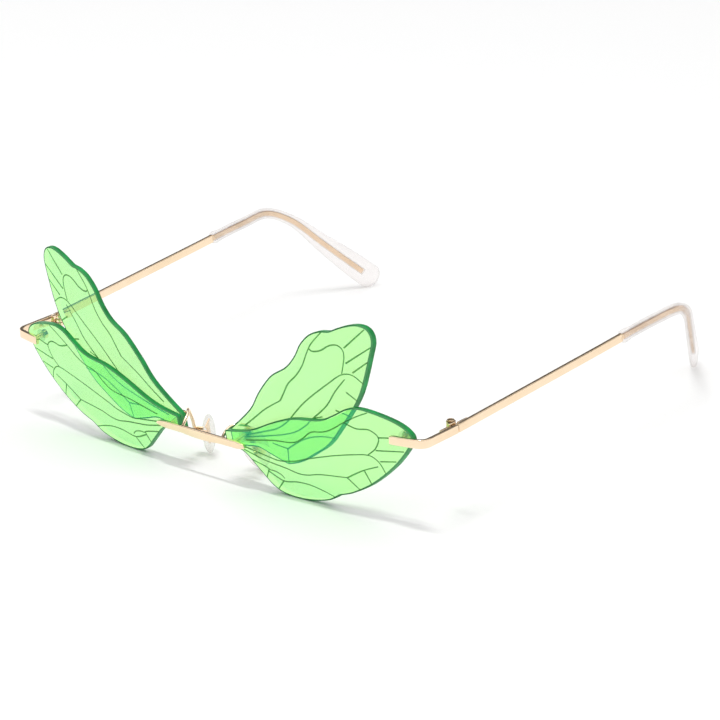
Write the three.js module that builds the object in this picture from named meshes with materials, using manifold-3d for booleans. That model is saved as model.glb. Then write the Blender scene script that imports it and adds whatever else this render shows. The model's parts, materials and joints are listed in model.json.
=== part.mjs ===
// Rimless sunglasses whose lenses are two pairs of insect wings.
// Millimetres. +X is the wearer's left, the lenses face -Y, the temples run back along +Y, +Z is up.
// Every piece is modelled for the wearer's left and mirrored for the right.

import * as THREE from 'three';
import Module from 'manifold-3d';
import { mergeVertices } from 'three/addons/utils/BufferGeometryUtils.js';
import { LoftGeometry } from 'three/addons/geometries/LoftGeometry.js';

const wasm = await Module();
wasm.setup();

// ---- Driving dimensions ----------------------------------------------------------------------------

const WING_REACH = 66.4; // centre line to the outermost edge of a lower wing
const OUTLINE_REACH = 66.4; // the reach at which the outlines below are drawn
const LENS_THICKNESS = 1.6;
const LENS_RADIUS = 213; // front surface of both wings, a sphere
const LENS_WRAP = -4.4; // degrees about Z, the outer edge forward
const LENS_LEAN = 3.2; // degrees, the top edge back

const BRIDGE_LENGTH = 31;
const BRIDGE_HEIGHT = 2.1;
const BRIDGE_THICKNESS = 0.9;
const BRIDGE_V = -52.4; // height of the bridge on the lens, below the sphere's top

const STRIP_HEIGHT = 2.3; // end piece and temple
const STRIP_THICKNESS = 1.1;
const END_TAB_U = 61; // inner end of the end piece's tab on the lens
const END_V = -40.2; // height of the end piece on the lens
const END_OVERHANG = 4.9; // how far an end piece stands out past the lens
const END_CORNER_RADIUS = 2.6;
const JOINT_DEPTH = 14.5; // Y of the joint between end piece and temple

const STUD_RADIUS = 0.6;
const NUT_RADIUS = 1.25;
const NUT_HEIGHT = 1.1;
const WASHER_RADIUS = 1.7;
const WASHER_THICKNESS = 0.5;

const KNUCKLE_RADIUS = 1.25;
const KNUCKLE_HEIGHT = 0.95;
const KNUCKLE_GAP = 0.15;
const LEAF_THICKNESS = 0.6;
const LEAF_LENGTH = 4;
const PIN_RADIUS = 0.5;
const SCREW_HEAD_RADIUS = 0.95;
const SCREW_HEAD_HEIGHT = 0.4;
const SLOT_WIDTH = 0.3;

const TEMPLE_STRAIGHT = 94; // joint to the top of the ear bend
const TEMPLE_SPLAY = 3; // outward over the straight stretch
const TEMPLE_RISE = 4.8; // upward over the straight stretch
const EAR_RUN = 32; // bend to tip, along Y
const EAR_TOE_IN = 15.4; // bend to tip, inward
const SLEEVE_START = 0.493; // share of the temple's length where the clear sleeve begins
const CORE_END = 0.958; // share of the temple's length where its core stops
const CORE_HEIGHT = 1.5;
const CORE_THICKNESS = 0.8;
const SLEEVE_HEIGHT = 3.1;
const SLEEVE_THICKNESS = 2.4;
const PADDLE_HEIGHT = 7.6;
const END_ROUND = 0.955; // share of the sleeve's length where its round end begins

const PAD_LENGTH = 13;
const PAD_WIDTH = 7;
const PAD_THICKNESS = 2.6;
const PAD_SCREW_RADIUS = 0.32;
const BOX_WIDTH = 2.6; // across the cheeks, along the pad screw
const BOX_DEPTH = 1.9;
const CHEEK = 0.6;
const WIRE_RADIUS = 0.45;

const CLEAR = 0.28; // gap between touching pieces
const RUNNING = 0.12; // radial gap of a screw in its knuckle or cheek
const ROUND = 16; // sides of a small cylinder

// ---- Materials -------------------------------------------------------------------------------------

const metal = (color, roughness) => new THREE.MeshStandardMaterial({ color, roughness, metalness: 1 });
const plastic = (color, opacity) =>
	new THREE.MeshStandardMaterial({ color, roughness: 0.08, metalness: 0, transparent: true, opacity });
const gold = metal(0xf6dcb4, 0.18);
const goldScrew = metal(0xd8b98c, 0.3);
const greenLens = plastic(0xa6f58e, 0.6);
const clearPlastic = plastic(0xf3eeee, 0.45);

// ---- Solids ----------------------------------------------------------------------------------------

/** Welds a closed geometry's shared vertices and drops the triangles that collapse at poles. */
function welded(geometry) {
	const bare = new THREE.BufferGeometry().copy(geometry);
	for (const name of Object.keys(bare.attributes)) {
		if (name !== 'position') bare.deleteAttribute(name);
	}
	bare.clearGroups();
	const merged = mergeVertices(bare, 1e-4);
	const index = [];
	for (let i = 0; i < merged.index.count; i += 3) {
		const [a, b, c] = [0, 1, 2].map((k) => merged.index.getX(i + k));
		if (a !== b && b !== c && c !== a) index.push(a, b, c);
	}
	merged.setIndex(index);
	return merged;
}

/** A closed geometry as a solid that can be joined and cut. */
function solid(geometry) {
	const mesh = welded(geometry);
	return new wasm.Manifold(
		new wasm.Mesh({
			numProp: 3,
			vertProperties: new Float32Array(mesh.attributes.position.array),
			triVerts: new Uint32Array(mesh.index.array),
		}),
	);
}

/** A solid back as a geometry. */
function geometryOf(manifold) {
	const mesh = manifold.getMesh();
	const geometry = new THREE.BufferGeometry();
	geometry.setAttribute('position', new THREE.BufferAttribute(new Float32Array(mesh.vertProperties), 3));
	geometry.setIndex([...mesh.triVerts]);
	return geometry;
}

/** Geometries joined into one. */
function joined(...geometries) {
	return geometryOf(geometries.map(solid).reduce((sum, part) => sum.add(part)));
}

/** A geometry with others cut from it. */
function cut(geometry, ...tools) {
	return geometryOf(tools.map(solid).reduce((rest, tool) => rest.subtract(tool), solid(geometry)));
}

/** A geometry mirrored across the centre plane, its faces still pointing out. */
function mirrored(geometry) {
	const mesh = welded(geometry);
	mesh.scale(-1, 1, 1);
	const index = [...mesh.index.array];
	for (let i = 0; i < index.length; i += 3) [index[i], index[i + 1]] = [index[i + 1], index[i]];
	mesh.setIndex(index);
	return mesh;
}

/** A frame with its origin at a point and its Z along a direction; X is turned towards a second one. */
function frameAt(origin, zAxis, xHint) {
	const z = zAxis.clone().normalize();
	const y = new THREE.Vector3().crossVectors(z, xHint).normalize();
	const x = new THREE.Vector3().crossVectors(y, z);
	return new THREE.Matrix4().makeBasis(x, y, z).setPosition(origin);
}

/** A cylinder along a frame's Z, from one distance to another. */
function cylinder(radius, from, to, frame, sides = ROUND) {
	const geometry = new THREE.CylinderGeometry(radius, radius, to - from, sides);
	geometry.rotateX(Math.PI / 2);
	geometry.translate(0, 0, (from + to) / 2);
	return geometry.applyMatrix4(frame);
}

/** A ring along a frame's Z: a washer, or a plain round nut. */
function ring(radius, bore, from, to, frame) {
	const corners = [[bore, from], [radius, from], [radius, to], [bore, to], [bore, from]];
	const geometry = new THREE.LatheGeometry(corners.map(([x, y]) => new THREE.Vector2(x, y)), ROUND);
	geometry.rotateX(Math.PI / 2);
	return geometry.applyMatrix4(frame);
}

/** A box given by its lowest and highest corners in a frame. */
function box(low, high, frame) {
	const size = high.map((value, i) => value - low[i]);
	const geometry = new THREE.BoxGeometry(...size);
	geometry.translate(...low.map((value, i) => value + size[i] / 2));
	return geometry.applyMatrix4(frame);
}

// ---- Lens wings ------------------------------------------------------------------------------------

const degrees = THREE.MathUtils.degToRad;
const WING_SCALE = WING_REACH / OUTLINE_REACH;
const SPHERE_TOP = new THREE.Vector3(0, -6.2 * WING_SCALE, 64.55 * WING_SCALE);
const WING_STEP = LENS_THICKNESS + CLEAR; // the upper wing lies this far behind the lower one

/** The lens frame: U across, V up, Z out of the front surface, with its origin at the sphere's top. */
function makeLensFrame() {
	const wrap = degrees(LENS_WRAP);
	const lean = degrees(LENS_LEAN);
	const across = new THREE.Vector3(Math.cos(wrap), Math.sin(wrap), 0);
	const back = new THREE.Vector3(-Math.sin(wrap), Math.cos(wrap), 0).multiplyScalar(Math.sin(lean));
	const up = new THREE.Vector3(0, 0, Math.cos(lean)).add(back);
	const out = new THREE.Vector3().crossVectors(across, up);
	return new THREE.Matrix4().makeBasis(across, up, out).setPosition(SPHERE_TOP);
}

const lensFrame = makeLensFrame();

/** A point of the front surface at U, V, moved out along the lens frame's Z. */
function lensPoint(u, v, out = 0) {
	const sag = LENS_RADIUS - Math.sqrt(LENS_RADIUS ** 2 - u * u - v * v);
	return new THREE.Vector3(u, v, out - sag).applyMatrix4(lensFrame);
}

/** The front surface's outward direction at U, V. */
function lensNormal(u, v) {
	const height = Math.sqrt(LENS_RADIUS ** 2 - u * u - v * v);
	return new THREE.Vector3(u, v, height).normalize().transformDirection(lensFrame);
}

// Outlines run clockwise from the root as smooth stretches that meet at corners.
const UPPER_OUTLINE = [
	[[8, -49.6], [13, -45.3], [17.2, -41.1], [20.5, -36.1], [25.2, -30.5], [30.3, -27], [33.4, -23.3],
		[35.3, -19.8], [38, -16.8], [41, -15.2], [44, -14.7]],
	[[44, -14.7], [48.2, -12.6], [52.2, -11.5], [55.2, -12.3], [56.4, -15.2], [55.5, -19.6], [53, -28],
		[50.3, -33.7], [45.6, -40.6], [41, -46.5], [36.3, -50.2], [30.8, -53.9], [26.4, -55.5]],
	[[26.4, -55.5], [21.5, -54], [17.4, -52.8], [13.5, -53.4], [8, -54.4]],
];
const LOWER_OUTLINE = [
	[[8, -49.5], [16.6, -47.4], [26, -42.8], [32.6, -40.3], [40.5, -39], [45, -36.7], [49, -34.2], [53, -33.4],
		[59.2, -34.4], [64, -36.2], [66.4, -38.9], [65.2, -42.2], [60.6, -48.2], [53.8, -54.4], [47.5, -58.4],
		[42.9, -60.2]],
	[[42.9, -60.2], [39, -62.6], [32.6, -64.1], [26.5, -64.2], [22.2, -62.8], [18.3, -58.9], [14.6, -55],
		[12.2, -54.1], [8, -54.5]],
];

/** A closed outline from its smooth stretches, at the wing's size. */
function outlineShape(stretches) {
	const shape = new THREE.Shape();
	const scaled = stretches.map((points) => points.map(([u, v]) => new THREE.Vector2(u, v).multiplyScalar(WING_SCALE)));
	shape.moveTo(scaled[0][0].x, scaled[0][0].y);
	for (const [, ...rest] of scaled) shape.splineThru(rest);
	shape.closePath();
	return shape;
}

/** A spherical lens blank between two depths behind the front surface, in the lens frame. */
function lensBlank(front, back) {
	const edge = Math.asin((92 * WING_SCALE) / LENS_RADIUS);
	const steps = 10;
	const arc = (radius, order) =>
		order.map((i) => new THREE.Vector2(radius * Math.sin((edge * i) / steps), radius * Math.cos((edge * i) / steps)));
	const outward = Array.from({ length: steps + 1 }, (_, i) => i);
	const profile = [
		...arc(LENS_RADIUS - back, outward),
		...arc(LENS_RADIUS - front, [...outward].reverse()),
	];
	const blank = new THREE.LatheGeometry(profile, 44);
	blank.rotateX(Math.PI / 2);
	blank.translate(0, 0, -LENS_RADIUS);
	return blank;
}

/** A wing: its outline cut from a lens blank, with round holes for the studs that pass through it. */
function wing(stretches, depth, studs) {
	const reach = 40 * WING_SCALE;
	const prism = new THREE.ExtrudeGeometry(outlineShape(stretches), {
		depth: reach,
		bevelEnabled: false,
		curveSegments: 3,
	});
	prism.translate(0, 0, -reach);
	const blank = solid(lensBlank(depth, depth + LENS_THICKNESS));
	const shell = geometryOf(blank.intersect(solid(prism))).applyMatrix4(lensFrame);
	return cut(shell, ...studs.map((frame) => cylinder(STUD_RADIUS + CLEAR, -12, 3, frame)));
}

const UP = new THREE.Vector3(0, 0, 1);
const rootStud = { u: 11 * WING_SCALE, v: BRIDGE_V * WING_SCALE };
const endStud = { u: 63.4 * WING_SCALE, v: END_V * WING_SCALE };
const bridgeNormal = lensNormal(0, rootStud.v).setX(0).normalize();
const rootFrame = frameAt(lensPoint(rootStud.u, rootStud.v), bridgeNormal, UP);
const endFrame = frameAt(lensPoint(endStud.u, endStud.v), lensNormal(endStud.u, endStud.v), UP);

// ---- Bridge ----------------------------------------------------------------------------------------

const ROOT_STACK = 2 * WING_STEP; // both wings lie behind the bridge
const END_STACK = WING_STEP;

/** The length of stud needed behind the front surface for a stack of wings, a washer and a nut. */
const studLength = (stack) => stack + WASHER_THICKNESS + CLEAR + NUT_HEIGHT + CLEAR;

/** The bridge: a flat bar before the roots of both wing pairs, pointed at its ends, with two studs. */
function bridge() {
	const half = (BRIDGE_LENGTH / 2) * WING_SCALE;
	const high = BRIDGE_HEIGHT / 2;
	const shape = new THREE.Shape();
	shape.moveTo(-half, -0.2);
	shape.quadraticCurveTo(-half + 1, -high, -half + 4, -high);
	shape.lineTo(-half + 9, -high);
	shape.quadraticCurveTo(0, -high - 0.9, half - 9, -high);
	shape.lineTo(half - 4, -high);
	shape.quadraticCurveTo(half - 1, -high, half, -0.2);
	shape.quadraticCurveTo(half, high, half - 4, high);
	shape.lineTo(-half + 4, high);
	shape.quadraticCurveTo(-half, high, -half, -0.2);
	const bar = new THREE.ExtrudeGeometry(shape, {
		depth: BRIDGE_THICKNESS - 0.3,
		bevelSize: 0.15,
		bevelThickness: 0.15,
		bevelOffset: -0.15,
		bevelSegments: 1,
		curveSegments: 8,
	});
	bar.translate(0, 0, CLEAR + 0.15);
	const middle = lensPoint(rootStud.u, rootStud.v).setX(0);
	bar.applyMatrix4(frameAt(middle, bridgeNormal, new THREE.Vector3(1, 0, 0)));
	const stud = cylinder(STUD_RADIUS, -studLength(ROOT_STACK), CLEAR + 0.3, rootFrame);
	return joined(bar, stud, mirrored(stud));
}

/** The washer and the hexagonal nut behind a stack of wings. */
function studHardware(stack, frame) {
	const washerBack = -stack - WASHER_THICKNESS;
	const nutFront = washerBack - CLEAR;
	const hexagon = cylinder(NUT_RADIUS, nutFront - NUT_HEIGHT, nutFront, frame, 6);
	const bore = cylinder(STUD_RADIUS + RUNNING, nutFront - NUT_HEIGHT - 1, nutFront + 1, frame);
	return {
		washer: ring(WASHER_RADIUS, STUD_RADIUS + RUNNING, washerBack, -stack, frame),
		nut: cut(hexagon, bore),
	};
}

// ---- End piece and hinge ---------------------------------------------------------------------------

const TEMPLE_X = WING_REACH + END_OVERHANG - STRIP_THICKNESS / 2; // middle of the strip behind the corner
const HINGE_Z = lensPoint(endStud.u, endStud.v).z + 0.2; // middle height of end piece and hinge
const PIN_X = TEMPLE_X - STRIP_THICKNESS / 2 - CLEAR - KNUCKLE_RADIUS;
const pinFrame = new THREE.Matrix4().setPosition(PIN_X, JOINT_DEPTH, HINGE_Z);

/** A strip of even thickness that follows a plan path, standing on edge about a height. */
function standingStrip(points, thickness, height, middleZ) {
	const sides = [1, -1].map((side) => points.map((point, i) => {
		const before = points[Math.max(i - 1, 0)];
		const after = points[Math.min(i + 1, points.length - 1)];
		const along = new THREE.Vector2().subVectors(after, before).normalize();
		return new THREE.Vector2(point.x - side * along.y * thickness / 2, point.y + side * along.x * thickness / 2);
	}));
	const shape = new THREE.Shape([...sides[1], ...sides[0].reverse()]);
	const strip = new THREE.ExtrudeGeometry(shape, { depth: height, bevelEnabled: false });
	return strip.translate(0, 0, middleZ - height / 2);
}

/** The end piece: a tab on the lens's front that turns back into a strip, with a stud through the lens. */
function endPiece() {
	const front = CLEAR + STRIP_THICKNESS / 2;
	const tab = lensPoint(END_TAB_U * WING_SCALE, endStud.v, front + 0.15);
	const edge = lensPoint(WING_REACH - 0.6, endStud.v, front + 0.15);
	const corner = new THREE.Vector2(TEMPLE_X, edge.y + (TEMPLE_X - edge.x) * 0.2);
	const path = new THREE.Path();
	path.moveTo(tab.x, tab.y);
	path.lineTo(corner.x - END_CORNER_RADIUS, corner.y - END_CORNER_RADIUS * 0.2);
	path.quadraticCurveTo(corner.x, corner.y, corner.x, corner.y + END_CORNER_RADIUS);
	path.lineTo(TEMPLE_X, JOINT_DEPTH - CLEAR / 2);
	const strip = standingStrip(path.getPoints(8), STRIP_THICKNESS, STRIP_HEIGHT, HINGE_Z);
	const stud = cylinder(STUD_RADIUS, -studLength(END_STACK), CLEAR + STRIP_THICKNESS / 2, endFrame);
	return joined(strip, stud);
}

/** A hinge leaf: a plate on the strip's inner side and its knuckles round the pin. */
function hingeLeaf(direction, levels) {
	const plateNear = direction * (KNUCKLE_RADIUS + 0.35);
	const plateFar = direction * (KNUCKLE_RADIUS + 0.35 + LEAF_LENGTH);
	const [low, high] = [Math.min(plateNear, plateFar), Math.max(plateNear, plateFar)];
	const inner = KNUCKLE_RADIUS - LEAF_THICKNESS;
	const plate = box([inner, low, -STRIP_HEIGHT / 2 + 0.2], [KNUCKLE_RADIUS, high, STRIP_HEIGHT / 2 - 0.2], pinFrame);
	const pieces = levels.flatMap((level) => {
		const from = level * (KNUCKLE_HEIGHT + KNUCKLE_GAP) - KNUCKLE_HEIGHT / 2;
		const to = from + KNUCKLE_HEIGHT;
		const [webLow, webHigh] = [Math.min(0, plateNear + direction * 0.3), Math.max(0, plateNear + direction * 0.3)];
		return [
			cylinder(KNUCKLE_RADIUS, from, to, pinFrame),
			box([0, webLow, from], [KNUCKLE_RADIUS, webHigh, to], pinFrame),
		];
	});
	return cut(joined(plate, ...pieces), cylinder(PIN_RADIUS + RUNNING, -5, 5, pinFrame));
}

const HINGE_TOP = 1.5 * KNUCKLE_HEIGHT + KNUCKLE_GAP; // above the hinge's middle

/** The hinge screw: a slotted head on the top knuckle and a shank through all three. */
function hingeScrew() {
	const headBase = HINGE_TOP + 0.1;
	const headTop = headBase + SCREW_HEAD_HEIGHT;
	const head = cylinder(SCREW_HEAD_RADIUS, headBase, headTop, pinFrame);
	const shank = cylinder(PIN_RADIUS, -HINGE_TOP - 0.1, headBase + 0.1, pinFrame);
	const slot = box([-2, -SLOT_WIDTH / 2, headTop - 0.2], [2, SLOT_WIDTH / 2, headTop + 1], pinFrame);
	return cut(joined(head, shank), slot);
}

// ---- Temple and clear sleeve -----------------------------------------------------------------------

const bendTop = new THREE.Vector3(
	TEMPLE_X + TEMPLE_SPLAY, JOINT_DEPTH + TEMPLE_STRAIGHT, HINGE_Z + TEMPLE_RISE);
const TIP_HEIGHT = 1.1; // the path's end above the floor

/** The temple's centre line: straight to the ear bend, then down, back and inward to the tip. */
function makeTemplePath() {
	const start = new THREE.Vector3(TEMPLE_X, JOINT_DEPTH + CLEAR / 2, HINGE_Z);
	const drop = bendTop.z - TIP_HEIGHT;
	const straight = (share) => start.clone().lerp(bendTop.clone().setZ(bendTop.z + 0.7), share);
	const ear = (inward, back, down) => new THREE.Vector3(
		bendTop.x - EAR_TOE_IN * inward, bendTop.y + EAR_RUN * back, bendTop.z - drop * down);
	return new THREE.CatmullRomCurve3([
		start, straight(0.3), straight(0.6), straight(0.88), bendTop,
		ear(0.17, 0.26, 0.15), ear(0.45, 0.52, 0.45), ear(0.74, 0.77, 0.74), ear(1, 1, 1),
	], false, 'centripetal');
}

const templePath = makeTemplePath();

/** A rounded rectangle's corners as a superellipse across (width) and up (height). */
function roundedSection(width, height, power, sides) {
	return Array.from({ length: sides }, (_, i) => {
		const angle = (2 * Math.PI * (i + 0.5)) / sides;
		const bulge = (value) => Math.sign(value) * Math.abs(value) ** (2 / power);
		return [bulge(Math.cos(angle)) * width / 2, bulge(Math.sin(angle)) * height / 2];
	});
}

/** A closed bar along a curve, from one share of its length to another; size gives each section's. */
function bar(curve, from, to, steps, size, power, sides, spacing = (share) => share) {
	const sections = Array.from({ length: steps + 1 }, (_, i) => {
		const share = spacing(i / steps);
		const at = from + (to - from) * share;
		const origin = curve.getPointAt(at);
		const along = curve.getTangentAt(at);
		const across = new THREE.Vector3().crossVectors(along, UP).normalize();
		const up = new THREE.Vector3().crossVectors(across, along);
		const { width, height } = size(share, at);
		return roundedSection(width, height, power, sides).map(([x, y]) =>
			origin.clone().addScaledVector(across, x).addScaledVector(up, y));
	});
	return new LoftGeometry(sections.map((section) => section.reverse()), { capStart: true, capEnd: true });
}

const smooth = THREE.MathUtils.smoothstep;
const TEMPLE_LENGTH = templePath.getLength();

/** The same section all along a bar. */
const evenSection = (width, height) => () => ({ width, height });

/** The temple: a flat strip with a shoulder at the sleeve's mouth and a thinner core beyond it. */
function temple() {
	const shoulder = SLEEVE_START - CLEAR / TEMPLE_LENGTH;
	const overlap = 0.5 / TEMPLE_LENGTH;
	const strip = bar(templePath, 0, shoulder, 9, evenSection(STRIP_THICKNESS, STRIP_HEIGHT), 6, 12);
	const core = bar(templePath, shoulder - overlap, CORE_END, 17, evenSection(CORE_THICKNESS, CORE_HEIGHT), 5, 8);
	return joined(strip, core);
}

/** The clear sleeve: a collar, an even stretch round the bend and a flat paddle, bored for the core. */
function sleeve() {
	const size = (share) => {
		const collar = 0.5 * (1 - smooth(share, 0, 0.06));
		const paddle = (PADDLE_HEIGHT - SLEEVE_HEIGHT) * smooth(share, 0.4, 0.95);
		const roundEnd = Math.sqrt(1 - 0.97 * Math.max(0, (share - END_ROUND) / (1 - END_ROUND)) ** 2);
		return {
			width: (SLEEVE_THICKNESS + collar) * (0.4 + 0.6 * roundEnd),
			height: (SLEEVE_HEIGHT + collar + paddle) * roundEnd,
		};
	};
	const towardsEnd = (share) => Math.sin((share * Math.PI) / 2);
	const outside = bar(templePath, SLEEVE_START, 1, 26, size, 3, 14, towardsEnd);
	const boreSection = evenSection(CORE_THICKNESS + 2 * CLEAR, CORE_HEIGHT + 2 * CLEAR);
	const bore = bar(templePath, SLEEVE_START - 0.02, CORE_END + CLEAR / TEMPLE_LENGTH, 17, boreSection, 5, 8);
	return cut(outside, bore);
}

// ---- Nose pads -------------------------------------------------------------------------------------

const PAD_MIDDLE = new THREE.Vector3(8.2, 8.2, 6).multiplyScalar(WING_SCALE);
const padDown = new THREE.Vector3(0.2, 0.34, -0.92).normalize(); // along the pad's length
const padAcross = new THREE.Vector3(0.36, 0.87, 0.5); // hint for the pad's width, along its screw
const padToNose = new THREE.Vector3().crossVectors(padAcross, padDown).normalize();
const PAD_SETBACK = PAD_THICKNESS / 2 + 0.45 + BOX_DEPTH / 2; // pad middle to its screw
const padFrame = frameAt(PAD_MIDDLE, padToNose, padDown);
const screwPoint = PAD_MIDDLE.clone().addScaledVector(padToNose, -PAD_SETBACK);
const screwAxis = new THREE.Vector3().setFromMatrixColumn(padFrame, 1);
const boxFrame = frameAt(screwPoint, padToNose, padDown);
const screwFrame = frameAt(screwPoint, screwAxis, padDown);

/** The metal insert: a plate inside the pad and a round-nosed tongue between the box's cheeks. */
function padCoreParts(grow) {
	const tongue = BOX_WIDTH / 2 - CHEEK - CLEAR + grow;
	const plateHalf = 0.25 + grow;
	const plate = box([-3.6 - grow, -0.8 - grow, -plateHalf], [3 + grow, 0.8 + grow, plateHalf], padFrame);
	const cap = box([-4.2 - grow, -1.6 - grow, -plateHalf], [-3.4 + grow, 1.6 + grow, plateHalf], padFrame);
	const stem = box([-0.7 - grow, -tongue, -PAD_SETBACK], [0.7 + grow, tongue, 0], padFrame);
	return [plate, cap, stem];
}

function padCore() {
	const tongue = BOX_WIDTH / 2 - CHEEK - CLEAR;
	const nose = cylinder(0.7, -tongue, tongue, screwFrame);
	const hole = cylinder(PAD_SCREW_RADIUS + RUNNING, -3, 3, screwFrame);
	return cut(joined(...padCoreParts(0), nose), hole);
}

/** The clear pad: a flattened oval, hollowed where its insert sits. */
function nosePad() {
	const oval = new THREE.SphereGeometry(1, 18, 10);
	oval.rotateX(Math.PI / 2);
	oval.scale(PAD_LENGTH / 2, PAD_WIDTH / 2, PAD_THICKNESS / 2);
	oval.applyMatrix4(padFrame);
	return cut(oval, ...padCoreParts(CLEAR));
}

/** The pad arm: a wire that leaves the bridge's back, loops up and over, and ends in the pad's box. */
function padArm() {
	const half = BOX_WIDTH / 2;
	const outer = box([-1.1, -half, -BOX_DEPTH / 2 - 0.5], [1.1, half, BOX_DEPTH / 2], boxFrame);
	const slot = box([-3, -half + CHEEK, -BOX_DEPTH / 2], [3, half - CHEEK, 3], boxFrame);
	const hole = cylinder(PAD_SCREW_RADIUS + RUNNING, -3, 3, screwFrame);
	const back = new THREE.Vector3(0, 0, -BOX_DEPTH / 2 - 0.3).applyMatrix4(boxFrame);
	const start = lensPoint(rootStud.u, rootStud.v).setX(7 * WING_SCALE).add(new THREE.Vector3(0, 0.05, 0.3));
	const nutBack = studLength(ROOT_STACK);
	const loop = [[0.1, -5.02, 1.1], [0.5, -3.42, 2.2], [1.7, -1.82, 2.7], [3.2, -0.22, 2.2], [4.1, 1.38, 0.4]]
		.map(([x, y, z]) => new THREE.Vector3(x, y + nutBack, z).add(start));
	const drop = new THREE.Vector3(11.6, 5.8, 9.4).multiplyScalar(WING_SCALE);
	const path = new THREE.CatmullRomCurve3([start, ...loop, drop, back], false, 'centripetal');
	const wire = bar(path, 0, 1, 15,
		evenSection(2 * WIRE_RADIUS, 2 * WIRE_RADIUS), 2, 8);
	return cut(joined(cut(outer, slot), wire), hole);
}

/** The pad screw: a slotted head on one cheek and a shank through both and the tongue. */
function padScrew() {
	const headBase = BOX_WIDTH / 2 + 0.1;
	const headTop = headBase + 0.4;
	const head = cylinder(0.7, headBase, headTop, screwFrame);
	const shank = cylinder(PAD_SCREW_RADIUS, -BOX_WIDTH / 2, headBase + 0.1, screwFrame);
	const slot = box([-2, -0.1, headTop - 0.15], [2, 0.1, headTop + 1], screwFrame);
	return cut(joined(head, shank), slot);
}

// ---- Assembly --------------------------------------------------------------------------------------

const group = new THREE.Group();

/** Adds a named piece to the group. */
function addPiece(name, geometry, material) {
	const mesh = new THREE.Mesh(geometry, material);
	mesh.name = name;
	group.add(mesh);
}

const rootHardware = studHardware(ROOT_STACK, rootFrame);
const endHardware = studHardware(END_STACK, endFrame);
const sidePieces = [
	['upper_wing', wing(UPPER_OUTLINE, WING_STEP, [rootFrame]), greenLens],
	['lower_wing', wing(LOWER_OUTLINE, 0, [rootFrame, endFrame]), greenLens],
	['bridge_washer', rootHardware.washer, clearPlastic],
	['bridge_nut', rootHardware.nut, gold],
	['end_piece', endPiece(), gold],
	['end_washer', endHardware.washer, clearPlastic],
	['end_nut', endHardware.nut, gold],
	['front_hinge_leaf', hingeLeaf(-1, [-1, 1]), gold],
	['temple_hinge_leaf', hingeLeaf(1, [0]), gold],
	['hinge_screw', hingeScrew(), goldScrew],
	['temple', temple(), gold],
	['temple_sleeve', sleeve(), clearPlastic],
	['pad_arm', padArm(), gold],
	['pad_core', padCore(), gold],
	['pad_screw', padScrew(), goldScrew],
	['nose_pad', nosePad(), clearPlastic],
];

addPiece('bridge', bridge(), gold);
for (const [name, geometry, material] of sidePieces) {
	addPiece(`${name}_left`, welded(geometry), material);
	addPiece(`${name}_right`, mirrored(geometry), material);
}

// The origin is on the floor below the middle of the whole object's box.
const bounds = new THREE.Box3().setFromObject(group);
group.position.set(0, -(bounds.min.y + bounds.max.y) / 2, -bounds.min.z);

export default group;
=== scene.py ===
"""Rimless sunglasses whose lenses are two pairs of insect wings, with folding gold temples.

Every piece is worked out in millimetres in the maker's frame: +X is the wearer's left, the lenses face -Y,
the temples run back along +Y and +Z is up. A piece of the left side is mirrored for the right.
"""

import json
import math

import bmesh
import bpy
import numpy as np
from mathutils import Matrix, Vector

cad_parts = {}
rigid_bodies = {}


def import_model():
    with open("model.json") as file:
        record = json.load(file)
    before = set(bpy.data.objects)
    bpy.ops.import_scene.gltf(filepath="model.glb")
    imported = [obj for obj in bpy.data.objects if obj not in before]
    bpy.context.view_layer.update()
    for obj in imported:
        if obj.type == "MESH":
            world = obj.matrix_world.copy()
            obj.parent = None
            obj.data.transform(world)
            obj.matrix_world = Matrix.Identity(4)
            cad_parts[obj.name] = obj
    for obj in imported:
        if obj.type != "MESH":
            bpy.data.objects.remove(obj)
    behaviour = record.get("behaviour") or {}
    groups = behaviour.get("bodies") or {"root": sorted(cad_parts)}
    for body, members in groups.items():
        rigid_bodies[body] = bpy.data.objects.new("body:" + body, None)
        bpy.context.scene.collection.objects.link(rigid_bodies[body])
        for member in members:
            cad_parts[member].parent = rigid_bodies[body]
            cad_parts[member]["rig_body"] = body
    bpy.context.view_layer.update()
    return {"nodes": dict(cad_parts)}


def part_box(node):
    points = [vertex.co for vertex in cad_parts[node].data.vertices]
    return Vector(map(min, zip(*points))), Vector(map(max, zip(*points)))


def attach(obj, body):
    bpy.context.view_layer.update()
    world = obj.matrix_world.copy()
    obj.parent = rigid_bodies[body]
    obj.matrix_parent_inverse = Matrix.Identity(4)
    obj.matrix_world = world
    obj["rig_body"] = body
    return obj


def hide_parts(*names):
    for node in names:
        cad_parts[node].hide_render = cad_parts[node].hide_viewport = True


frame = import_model()

# ---- Sizes, in millimetres ---------------------------------------------------------------------------

WING_REACH = 66.4
LENS_THICKNESS = 1.6
LENS_RADIUS = 213.0
LENS_WRAP = math.radians(-4.4)
LENS_LEAN = math.radians(3.2)
SPHERE_TOP = np.array([0.0, -6.2, 64.55])
CLEAR = 0.28
RUNNING = 0.12
WING_STEP = LENS_THICKNESS + CLEAR

BRIDGE_LENGTH = 31.0
BRIDGE_HEIGHT = 2.1
BRIDGE_THICKNESS = 0.9
STRIP_HEIGHT = 2.3
STRIP_THICKNESS = 1.1
END_TAB_U = 61.0
END_OVERHANG = 4.9
END_CORNER_RADIUS = 2.6
JOINT_DEPTH = 14.5
ROOT_STUD = (11.0, -52.4)
END_STUD = (63.4, -40.2)

STUD_RADIUS = 0.6
NUT_RADIUS = 1.25
NUT_HEIGHT = 1.1
WASHER_RADIUS = 1.7
WASHER_THICKNESS = 0.5

KNUCKLE_RADIUS = 1.25
KNUCKLE_HEIGHT = 0.95
KNUCKLE_GAP = 0.15
LEAF_THICKNESS = 0.6
LEAF_LENGTH = 4.0
PIN_RADIUS = 0.5
SCREW_HEAD_RADIUS = 0.95
SCREW_HEAD_HEIGHT = 0.4

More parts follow.
